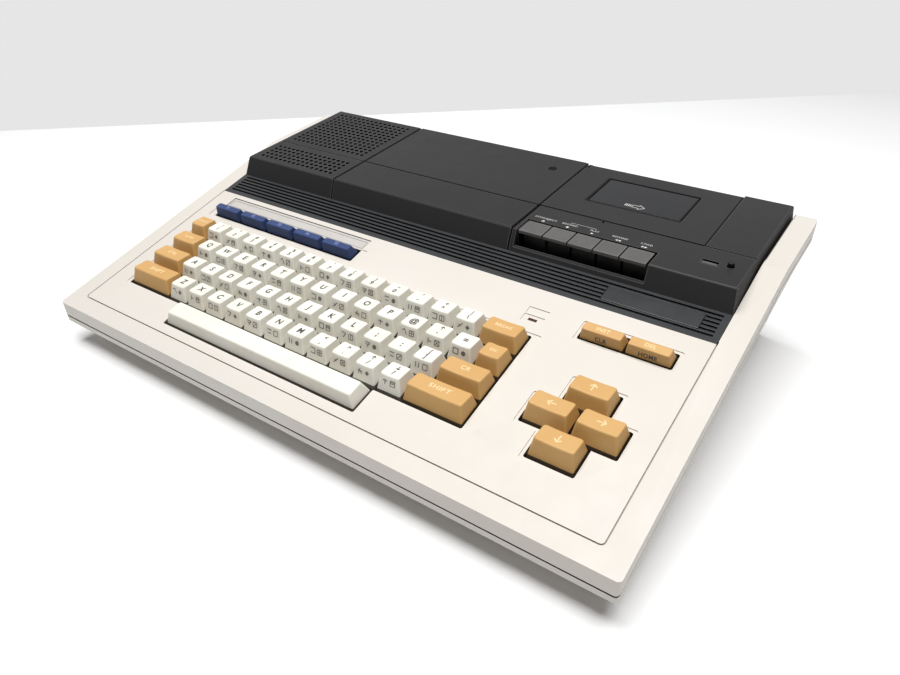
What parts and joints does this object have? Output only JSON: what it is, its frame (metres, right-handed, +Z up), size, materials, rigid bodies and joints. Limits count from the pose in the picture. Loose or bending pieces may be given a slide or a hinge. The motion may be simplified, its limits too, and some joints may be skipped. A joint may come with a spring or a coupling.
{
  "type": "vintage home computer",
  "caption": "Wedge-shaped home computer with a full keyboard, cursor and function keys, vent grille, blank bay and a built-in cassette recorder with an opening door.",
  "frame": {"origin": "middle of the footprint, on the surface the feet stand on", "axes": "+X to the right along the keyboard, +Y from the front edge to the back, +Z up"},
  "size_m": [0.44, 0.293, 0.1021],
  "materials": {
    "case_cream": "fine-grained moulded ABS",
    "strip_black": "moulded, ribbed",
    "plate_dark": "satin, bare",
    "module_black": "fine-grained moulded",
    "window_clear": "clear, smooth",
    "button_grey": "moulded, fine ribs",
    "key_white": "fine-grained moulded",
    "key_orange": "fine-grained moulded",
    "key_blue": "fine-grained moulded",
    "frame_steel": "zinc plate",
    "board_green": "lacquered board",
    "metal_grey": "plated",
    "steel": "turned or pressed",
    "brass": "turned",
    "dark_plastic": "moulded",
    "light_plastic": "moulded",
    "rubber": "smooth",
    "label_paper": "matt card",
    "lamp_red": "clear red"
  },
  "bodies": {
    "case": {"bottom_case": "case_cream", "top_case": "case_cream", "ribbed_strip": "strip_black", "name_plate": "plate_dark", "grille_cover": "module_black", "bay_cover": "module_black", "recorder_case": "module_black", "label_card": "label_paper", "lamp_lens": "lamp_red", "key_frame": "frame_steel", "key_contacts": "rubber", "key_board": "board_green", "main_board": "board_green", "power_supply": "metal_grey", "speaker": "metal_grey", "tape_chassis": "steel", "tape_motor": "metal_grey", "drive_belt": "rubber", "rear_sockets": "dark_plastic", "feet": "rubber", "case_screws": "steel"},
    "door": {"cassette_door": "module_black", "cassette_window": "window_clear"},
    "button_record": {"button_record": "button_grey"},
    "button_rewind": {"button_rewind": "button_grey"},
    "button_play": {"button_play": "button_grey"},
    "button_forward": {"button_forward": "button_grey"},
    "button_stop": {"button_stop": "button_grey"},
    "key_row_1": {"key_row_1": "key_white"},
    "key_row_2": {"key_row_2": "key_white"},
    "key_row_3": {"key_row_3": "key_white"},
    "key_row_4": {"key_row_4": "key_white"},
    "key_graph": {"key_graph": "key_orange"},
    "key_alpha": {"key_alpha": "key_orange"},
    "key_control": {"key_control": "key_orange"},
    "key_shift_left": {"key_shift_left": "key_orange"},
    "key_break": {"key_break": "key_orange"},
    "key_blank": {"key_blank": "key_orange"},
    "key_return": {"key_return": "key_orange"},
    "key_shift_right": {"key_shift_right": "key_orange"},
    "key_up": {"key_up": "key_orange"},
    "key_left": {"key_left": "key_orange"},
    "key_right": {"key_right": "key_orange"},
    "key_down": {"key_down": "key_orange"},
    "key_insert": {"key_insert": "key_orange"},
    "key_delete": {"key_delete": "key_orange"},
    "key_f1": {"key_f1": "key_blue"},
    "key_f2": {"key_f2": "key_blue"},
    "key_f3": {"key_f3": "key_blue"},
    "key_f4": {"key_f4": "key_blue"},
    "key_f5": {"key_f5": "key_blue"},
    "space_bar": {"space_bar": "key_white"},
    "reel_left": {"reel_left": "light_plastic"},
    "reel_right": {"reel_right": "light_plastic"},
    "flywheel": {"flywheel": "steel"},
    "motor_pulley": {"motor_pulley": "brass"},
    "head_bridge": {"head_bridge": "steel"},
    "pinch_roller": {"pinch_roller": "rubber"},
    "power_rocker": {"power_rocker": "dark_plastic"},
    "button_counter": {"button_counter": "dark_plastic"}
  },
  "joints": [
    {"name": "door_hinge", "type": "hinge", "parent": "case", "child": "door", "pos_m": [0.1125, 0.1428, 0.0984], "axis": [-1, 0, 0], "range_deg": [0, 60]},
    {"name": "record_press", "type": "hinge", "parent": "case", "child": "button_record", "pos_m": [0.1125, 0.07043, 0.07352], "axis": [1, 0, 0], "range_deg": [0, 8], "stiffness_Nm_per_rad": 0.4, "springref_deg": -6.88},
    {"name": "rewind_press", "type": "hinge", "parent": "case", "child": "button_rewind", "pos_m": [0.1125, 0.07043, 0.07352], "axis": [1, 0, 0], "range_deg": [0, 8], "stiffness_Nm_per_rad": 0.4, "springref_deg": -6.88},
    {"name": "play_press", "type": "hinge", "parent": "case", "child": "button_play", "pos_m": [0.1125, 0.07043, 0.07352], "axis": [1, 0, 0], "range_deg": [0, 8], "stiffness_Nm_per_rad": 0.4, "springref_deg": -6.88},
    {"name": "forward_press", "type": "hinge", "parent": "case", "child": "button_forward", "pos_m": [0.1125, 0.07043, 0.07352], "axis": [1, 0, 0], "range_deg": [0, 8], "stiffness_Nm_per_rad": 0.4, "springref_deg": -6.88},
    {"name": "stop_press", "type": "hinge", "parent": "case", "child": "button_stop", "pos_m": [0.1125, 0.07043, 0.07352], "axis": [1, 0, 0], "range_deg": [0, 8], "stiffness_Nm_per_rad": 0.4, "springref_deg": -6.88},
    {"name": "row_1_press", "type": "slide", "parent": "case", "child": "key_row_1", "axis": [0, 0.2504, -0.9681], "range_m": [0, 0.0035], "stiffness_N_per_m": 2080, "springref_m": -0.0015},
    {"name": "row_2_press", "type": "slide", "parent": "case", "child": "key_row_2", "axis": [0, 0.2504, -0.9681], "range_m": [0, 0.0035], "stiffness_N_per_m": 2080, "springref_m": -0.0015},
    {"name": "row_3_press", "type": "slide", "parent": "case", "child": "key_row_3", "axis": [0, 0.2504, -0.9681], "range_m": [0, 0.0035], "stiffness_N_per_m": 1920, "springref_m": -0.0015},
    {"name": "row_4_press", "type": "slide", "parent": "case", "child": "key_row_4", "axis": [0, 0.2504, -0.9681], "range_m": [0, 0.0035], "stiffness_N_per_m": 1760, "springref_m": -0.0015},
    {"name": "graph_press", "type": "slide", "parent": "case", "child": "key_graph", "axis": [0, 0.2504, -0.9681], "range_m": [0, 0.0035], "stiffness_N_per_m": 160, "springref_m": -0.0015},
    {"name": "alpha_press", "type": "slide", "parent": "case", "child": "key_alpha", "axis": [0, 0.2504, -0.9681], "range_m": [0, 0.0035], "stiffness_N_per_m": 160, "springref_m": -0.0015},
    {"name": "control_press", "type": "slide", "parent": "case", "child": "key_control", "axis": [0, 0.2504, -0.9681], "range_m": [0, 0.0035], "stiffness_N_per_m": 160, "springref_m": -0.0015},
    {"name": "shift_left_press", "type": "slide", "parent": "case", "child": "key_shift_left", "axis": [0, 0.2504, -0.9681], "range_m": [0, 0.0035], "stiffness_N_per_m": 160, "springref_m": -0.0015},
    {"name": "break_press", "type": "slide", "parent": "case", "child": "key_break", "axis": [0, 0.2504, -0.9681], "range_m": [0, 0.0035], "stiffness_N_per_m": 160, "springref_m": -0.0015},
    {"name": "blank_press", "type": "slide", "parent": "case", "child": "key_blank", "axis": [0, 0.2504, -0.9681], "range_m": [0, 0.0035], "stiffness_N_per_m": 160, "springref_m": -0.0015},
    {"name": "return_press", "type": "slide", "parent": "case", "child": "key_return", "axis": [0, 0.2504, -0.9681], "range_m": [0, 0.0035], "stiffness_N_per_m": 160, "springref_m": -0.0015},
    {"name": "shift_right_press", "type": "slide", "parent": "case", "child": "key_shift_right", "axis": [0, 0.2504, -0.9681], "range_m": [0, 0.0035], "stiffness_N_per_m": 160, "springref_m": -0.0015},
    {"name": "up_press", "type": "slide", "parent": "case", "child": "key_up", "axis": [0, 0.2504, -0.9681], "range_m": [0, 0.0035], "stiffness_N_per_m": 160, "springref_m": -0.0015},
    {"name": "left_press", "type": "slide", "parent": "case", "child": "key_left", "axis": [0, 0.2504, -0.9681], "range_m": [0, 0.0035], "stiffness_N_per_m": 160, "springref_m": -0.0015},
    {"name": "right_press", "type": "slide", "parent": "case", "child": "key_right", "axis": [0, 0.2504, -0.9681], "range_m": [0, 0.0035], "stiffness_N_per_m": 160, "springref_m": -0.0015},
    {"name": "down_press", "type": "slide", "parent": "case", "child": "key_down", "axis": [0, 0.2504, -0.9681], "range_m": [0, 0.0035], "stiffness_N_per_m": 160, "springref_m": -0.0015},
    {"name": "insert_press", "type": "slide", "parent": "case", "child": "key_insert", "axis": [0, 0.2504, -0.9681], "range_m": [0, 0.0035], "stiffness_N_per_m": 160, "springref_m": -0.0015},
    {"name": "delete_press", "type": "slide", "parent": "case", "child": "key_delete", "axis": [0, 0.2504, -0.9681], "range_m": [0, 0.0035], "stiffness_N_per_m": 160, "springref_m": -0.0015},
    {"name": "f1_press", "type": "slide", "parent": "case", "child": "key_f1", "axis": [0, 0.2504, -0.9681], "range_m": [0, 0.0035], "stiffness_N_per_m": 160, "springref_m": -0.0015},
    {"name": "f2_press", "type": "slide", "parent": "case", "child": "key_f2", "axis": [0, 0.2504, -0.9681], "range_m": [0, 0.0035], "stiffness_N_per_m": 160, "springref_m": -0.0015},
    {"name": "f3_press", "type": "slide", "parent": "case", "child": "key_f3", "axis": [0, 0.2504, -0.9681], "range_m": [0, 0.0035], "stiffness_N_per_m": 160, "springref_m": -0.0015},
    {"name": "f4_press", "type": "slide", "parent": "case", "child": "key_f4", "axis": [0, 0.2504, -0.9681], "range_m": [0, 0.0035], "stiffness_N_per_m": 160, "springref_m": -0.0015},
    {"name": "f5_press", "type": "slide", "parent": "case", "child": "key_f5", "axis": [0, 0.2504, -0.9681], "range_m": [0, 0.0035], "stiffness_N_per_m": 160, "springref_m": -0.0015},
    {"name": "space_bar_press", "type": "slide", "parent": "case", "child": "space_bar", "axis": [0, 0.2504, -0.9681], "range_m": [0, 0.0035], "stiffness_N_per_m": 160, "springref_m": -0.0015},
    {"name": "reel_left_spin", "type": "hinge", "parent": "case", "child": "reel_left", "pos_m": [0.09125, 0.11113, 0.08705], "axis": [0, -0.0854, 0.9963], "continuous": true},
    {"name": "reel_right_spin", "type": "hinge", "parent": "case", "child": "reel_right", "pos_m": [0.13375, 0.11113, 0.08705], "axis": [0, -0.0854, 0.9963], "continuous": true},
    {"name": "flywheel_spin", "type": "hinge", "parent": "case", "child": "flywheel", "pos_m": [0.138, 0.08806, 0.06701], "axis": [0, -0.0854, 0.9963], "continuous": true},
    {"name": "pulley_spin", "type": "hinge", "parent": "case", "child": "motor_pulley", "pos_m": [0.0745, 0.12272, 0.06897], "axis": [0, -0.0854, 0.9963], "continuous": true},
    {"name": "bridge_slide", "type": "slide", "parent": "case", "child": "head_bridge", "axis": [0, 0.9963, 0.0854], "range_m": [0, 0.004]},
    {"name": "roller_spin", "type": "hinge", "parent": "head_bridge", "child": "pinch_roller", "pos_m": [0.138, 0.07616, 0.08405], "axis": [0, -0.0854, 0.9963], "continuous": true},
    {"name": "power_rock", "type": "hinge", "parent": "case", "child": "power_rocker", "pos_m": [-0.153, 0.1405, 0.028], "axis": [1, 0, 0], "range_deg": [0, 16]},
    {"name": "counter_press", "type": "slide", "parent": "case", "child": "button_counter", "axis": [0, 0.0854, -0.9963], "range_m": [0, 0.0012], "stiffness_N_per_m": 150, "springref_m": -0.001}
  ],
  "couplings": [
    {"joint": "pulley_spin", "follows": "flywheel_spin", "ratio": 7},
    {"joint": "play_press", "follows": "bridge_slide", "rad_per_m": 34.9}
  ]
}
